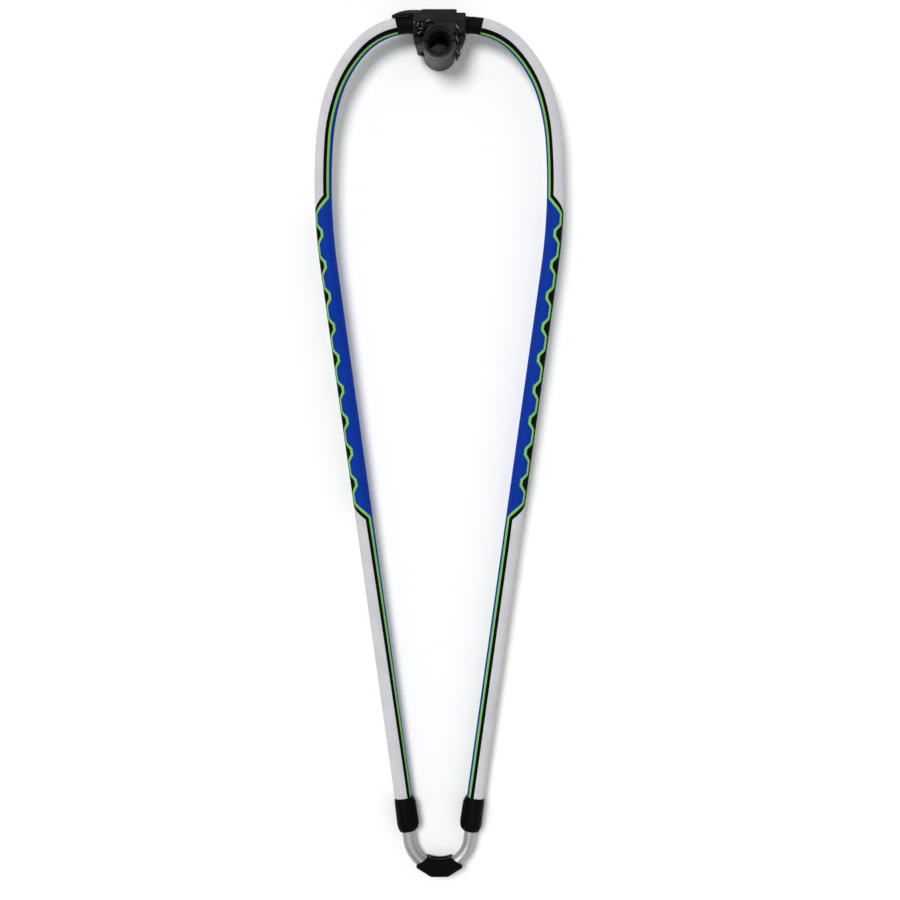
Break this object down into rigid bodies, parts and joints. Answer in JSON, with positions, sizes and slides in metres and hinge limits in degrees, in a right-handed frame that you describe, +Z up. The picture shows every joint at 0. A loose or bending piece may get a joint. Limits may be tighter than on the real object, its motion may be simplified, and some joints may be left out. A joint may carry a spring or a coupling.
{
  "type": "windsurf wishbone boom",
  "caption": "An adjustable alloy windsurf boom with printed foam grips, a hinged mast clamp and a sliding tail.",
  "frame": {"origin": "on the mast axis, in the plane of the tubes", "axes": "+Y out of the front of the head, -Y to the tail, +Z up with the boom lying flat"},
  "size_m": [0.448, 1.5545, 0.088],
  "materials": {
    "arm_alloy": "satin drawn alloy",
    "leg_alloy": "brushed bright alloy",
    "steel": "stainless steel",
    "grip_foam": "printed foam sleeve",
    "cuff_rubber": "smooth black rubber",
    "pad_rubber": "matt black rubber",
    "head_plastic": "moulded nylon",
    "lever_plastic": "moulded nylon",
    "jaw_plastic": "polished nylon",
    "collar_plastic": "moulded nylon",
    "clip_plastic": "moulded nylon",
    "sheave_plastic": "turned acetal",
    "line": "braided line, black with pale flecks"
  },
  "bodies": {
    "frame": {"main_tube": "arm_alloy", "grip_left": "grip_foam", "grip_right": "grip_foam", "cuff_left": "cuff_rubber", "cuff_right": "cuff_rubber", "head_body": "head_plastic", "head_cap": "head_plastic", "head_screw_1": "steel", "head_screw_2": "steel", "head_screw_3": "steel", "head_screw_4": "steel", "saddle_pad": "pad_rubber", "lever_pin": "steel", "jaw_pin": "steel", "clamp_line": "line", "line_knot": "line", "collar_left": "collar_plastic", "collar_right": "collar_plastic", "clip_pin_left": "steel", "clip_pin_right": "steel"},
    "lever": {"clamp_lever": "lever_plastic"},
    "jaw": {"mast_jaw": "jaw_plastic", "jaw_pad": "pad_rubber"},
    "clip_left": {"lock_clip_left": "clip_plastic", "lock_pin_left": "steel"},
    "clip_right": {"lock_clip_right": "clip_plastic", "lock_pin_right": "steel"},
    "tail": {"tail_leg_left": "leg_alloy", "tail_leg_right": "leg_alloy", "tail_tube_left": "leg_alloy", "tail_tube_right": "leg_alloy", "tail_block_upper": "collar_plastic", "tail_block_lower": "collar_plastic", "tail_screw_left": "steel", "tail_screw_right": "steel", "sheave_pin_left": "steel", "sheave_pin_right": "steel"},
    "sheave_left": {"sheave_left": "sheave_plastic"},
    "sheave_right": {"sheave_right": "sheave_plastic"}
  },
  "joints": [
    {"name": "lever_hinge", "type": "hinge", "parent": "frame", "child": "lever", "pos_m": [0.027, 0.0622, 0], "axis": [0, 0, -1], "range_deg": [0, 110]},
    {"name": "jaw_hinge", "type": "hinge", "parent": "frame", "child": "jaw", "pos_m": [-0.0353, -0.003, 0], "axis": [0, 0, -1], "range_deg": [0, 75], "deforming": ["clamp_line"]},
    {"name": "clip_left_hinge", "type": "hinge", "parent": "frame", "child": "clip_left", "pos_m": [-0.04471, -1.3577, 0], "axis": [0, 0, 1], "range_deg": [0, 40]},
    {"name": "clip_right_hinge", "type": "hinge", "parent": "frame", "child": "clip_right", "pos_m": [0.04471, -1.3577, 0], "axis": [0, 0, -1], "range_deg": [0, 40]},
    {"name": "tail_slide", "type": "slide", "parent": "frame", "child": "tail", "axis": [0, -1, 0], "range_m": [0, 0.5], "deforming": ["tail_leg_left", "tail_leg_right"]},
    {"name": "sheave_left_spin", "type": "hinge", "parent": "tail", "child": "sheave_left", "pos_m": [-0.0074, -1.46824, 0], "axis": [0, 0, 1], "continuous": true},
    {"name": "sheave_right_spin", "type": "hinge", "parent": "tail", "child": "sheave_right", "pos_m": [0.0074, -1.46824, 0], "axis": [0, 0, 1], "continuous": true}
  ]
}
